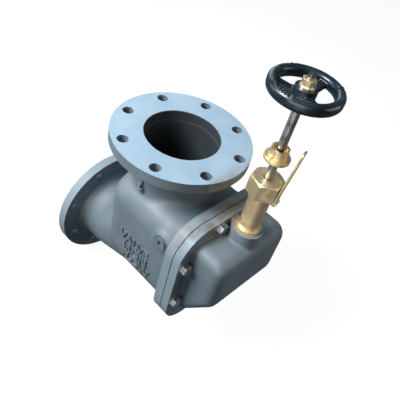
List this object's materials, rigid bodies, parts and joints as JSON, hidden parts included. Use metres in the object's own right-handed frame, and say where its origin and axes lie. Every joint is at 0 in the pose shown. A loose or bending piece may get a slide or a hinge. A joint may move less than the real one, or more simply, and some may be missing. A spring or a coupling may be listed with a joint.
{
  "type": "angle storm valve",
  "caption": "Cast-iron angle storm valve: flanged inlet above, flanged outlet at the side, swing flap inside, bolted cover with a rising screw-down stem and handwheel.",
  "frame": {"origin": "centre of the outlet flange's face", "axes": "-X points out of the outlet flange, +Z points out of the inlet flange along the stem, and Y runs across the valve along the flap's hinge pin"},
  "size_m": [0.383, 0.235, 0.6114],
  "materials": {
    "grey_paint": "satin blue-grey marine paint over cast iron",
    "bronze": "machined bronze",
    "brass": "turned brass, lightly handled",
    "plug_steel": "painted over steel",
    "zinc_steel": "dull zinc plated steel",
    "stem_steel": "ground steel",
    "bare_iron": "primed cast iron",
    "gasket": "dark fibre sheet",
    "packing": "greased plaited packing",
    "rubber": "moulded rubber",
    "wheel_enamel": "glossy dark enamel"
  },
  "bodies": {
    "casing": {"valve_body": "grey_paint", "seat_ring": "bronze", "hinge_bushes": "bronze", "hinge_plugs": "plug_steel", "cover_gasket": "gasket", "cover": "grey_paint", "cover_bolts": "zinc_steel", "bonnet": "brass", "gland_packing": "packing", "gland_follower": "brass", "gland_nut": "brass", "indicator_clamp": "brass", "indicator_plate": "brass", "indicator_screws": "zinc_steel"},
    "flap_arm": {"flap_arm": "bare_iron", "hinge_pin": "stem_steel"},
    "flap_disc": {"flap_disc": "bronze", "flap_seal": "rubber", "seal_retainer": "bronze", "retainer_screws": "stem_steel", "disc_nut": "bronze"},
    "thrust_foot": {"thrust_foot": "bronze", "foot_pins": "stem_steel"},
    "stem": {"stem": "stem_steel", "indicator_collar": "brass", "collar_screw": "stem_steel", "handwheel": "wheel_enamel", "handwheel_washer": "zinc_steel", "handwheel_nut": "brass"}
  },
  "joints": [
    {"name": "stem_travel", "type": "slide", "parent": "casing", "child": "thrust_foot", "axis": [0, 0, 1], "range_m": [-0.02601, 0.01001]},
    {"name": "handwheel_turn", "type": "hinge", "parent": "thrust_foot", "child": "stem", "pos_m": [0.333, 0, 0.474], "axis": [0, 0, 1], "range_deg": [-2340, 900]},
    {"name": "flap_swing", "type": "hinge", "parent": "casing", "child": "flap_arm", "pos_m": [0.24721, 0, 0.15797], "axis": [0, -1, 0], "range_deg": [-17.34, 6.67]},
    {"name": "disc_spin", "type": "hinge", "parent": "flap_arm", "child": "flap_disc", "pos_m": [0.17871, 0, 0.0982], "axis": [0.7585, 0, -0.6517], "continuous": true}
  ],
  "couplings": [
    {"joint": "stem_travel", "follows": "handwheel_turn", "m_per_rad": 0.00063662},
    {"joint": "flap_swing", "follows": "handwheel_turn", "ratio": 0.0074074}
  ]
}
